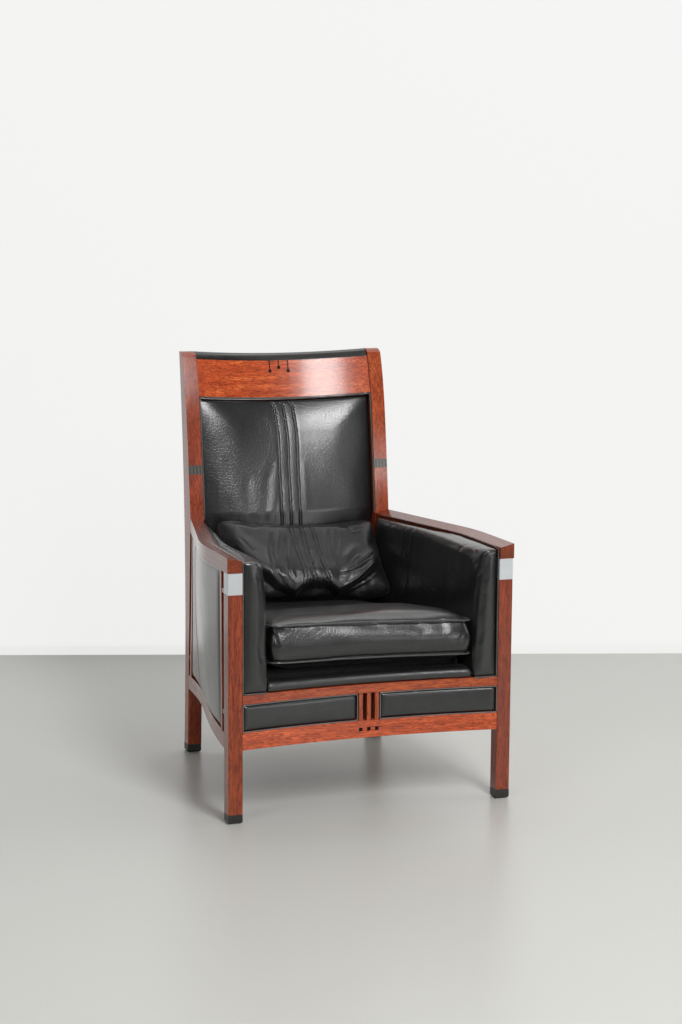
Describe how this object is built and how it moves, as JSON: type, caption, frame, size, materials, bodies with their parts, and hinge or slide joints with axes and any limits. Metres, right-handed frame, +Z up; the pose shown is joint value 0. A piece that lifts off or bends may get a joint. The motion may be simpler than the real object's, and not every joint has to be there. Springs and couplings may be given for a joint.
{
  "type": "high-backed leather armchair",
  "caption": "High-backed upholstered armchair: a glossy reddish hardwood frame with curved arms, rails and posts, black leather panels, a loose seat cushion and a loose lumbar pillow.",
  "frame": {"origin": "on the floor, under the middle of the whole chair's bounding box", "axes": "+Z up; the chair faces -Y; +X towards the right side as seen from the front"},
  "size_m": [0.736, 0.7846, 1.0801],
  "materials": {
    "hardwood": "polished reddish tropical hardwood, straight fine grain, glossy lacquer",
    "leather": "smooth black leather, soft gloss, stitched and piped",
    "metal_band": "satin light grey metal",
    "foot_cap": "black, dull",
    "dark_inlay": "black polished wood",
    "panel_bead": "black leather piping",
    "frame_wood": "plain planed beech, unfinished",
    "board": "thin plywood, unfinished",
    "webbing": "woven elastic straps",
    "deck_cloth": "foam pad under black lining cloth",
    "fixing_steel": "bright zinc-plated steel"
  },
  "bodies": {
    "frame": {"front_leg_left": "hardwood", "front_leg_right": "hardwood", "back_post_left": "hardwood", "back_post_right": "hardwood", "foot_cap_front_left": "foot_cap", "foot_cap_front_right": "foot_cap", "foot_cap_back_left": "foot_cap", "foot_cap_back_right": "foot_cap", "foot_pins": "fixing_steel", "leg_band_left": "metal_band", "leg_band_right": "metal_band", "arm_left": "hardwood", "arm_right": "hardwood", "arm_dowels": "frame_wood", "side_rail_left": "hardwood", "side_rail_right": "hardwood", "side_stiles_left": "hardwood", "side_stiles_right": "hardwood", "side_bars_left": "hardwood", "side_bars_right": "hardwood", "side_panel_left": "leather", "side_panel_right": "leather", "side_board_left": "board", "side_board_right": "board", "arm_pad_left": "leather", "arm_pad_right": "leather", "front_rail_lower": "hardwood", "front_rail_upper": "hardwood", "front_slats": "hardwood", "front_inlays": "dark_inlay", "front_panel_left": "leather", "front_panel_right": "leather", "front_bead_left": "panel_bead", "front_bead_right": "panel_bead", "seat_frame_left": "frame_wood", "seat_frame_right": "frame_wood", "seat_frame_front": "frame_wood", "seat_frame_back": "frame_wood", "corner_blocks": "frame_wood", "block_screws": "fixing_steel", "seat_webbing": "webbing", "seat_deck": "deck_cloth", "seat_bolster": "leather", "crest_rail": "hardwood", "crest_cap_strip": "dark_inlay", "crest_inlays": "dark_inlay", "post_inlay_left": "dark_inlay", "post_inlay_right": "dark_inlay", "back_rail_lower": "hardwood", "back_board": "board", "back_pad": "leather", "back_welt": "leather", "outer_back_panel": "leather"},
    "seat_cushion": {"seat_cushion": "leather"},
    "lumbar_pillow": {"lumbar_pillow": "leather"}
  },
  "joints": [
    {"name": "seat_cushion_lift", "type": "slide", "parent": "frame", "child": "seat_cushion", "axis": [0, 0, 1], "range_m": [0, 0.15]},
    {"name": "lumbar_pillow_lift", "type": "slide", "parent": "seat_cushion", "child": "lumbar_pillow", "axis": [0, 0, 1], "range_m": [0, 0.15]}
  ]
}
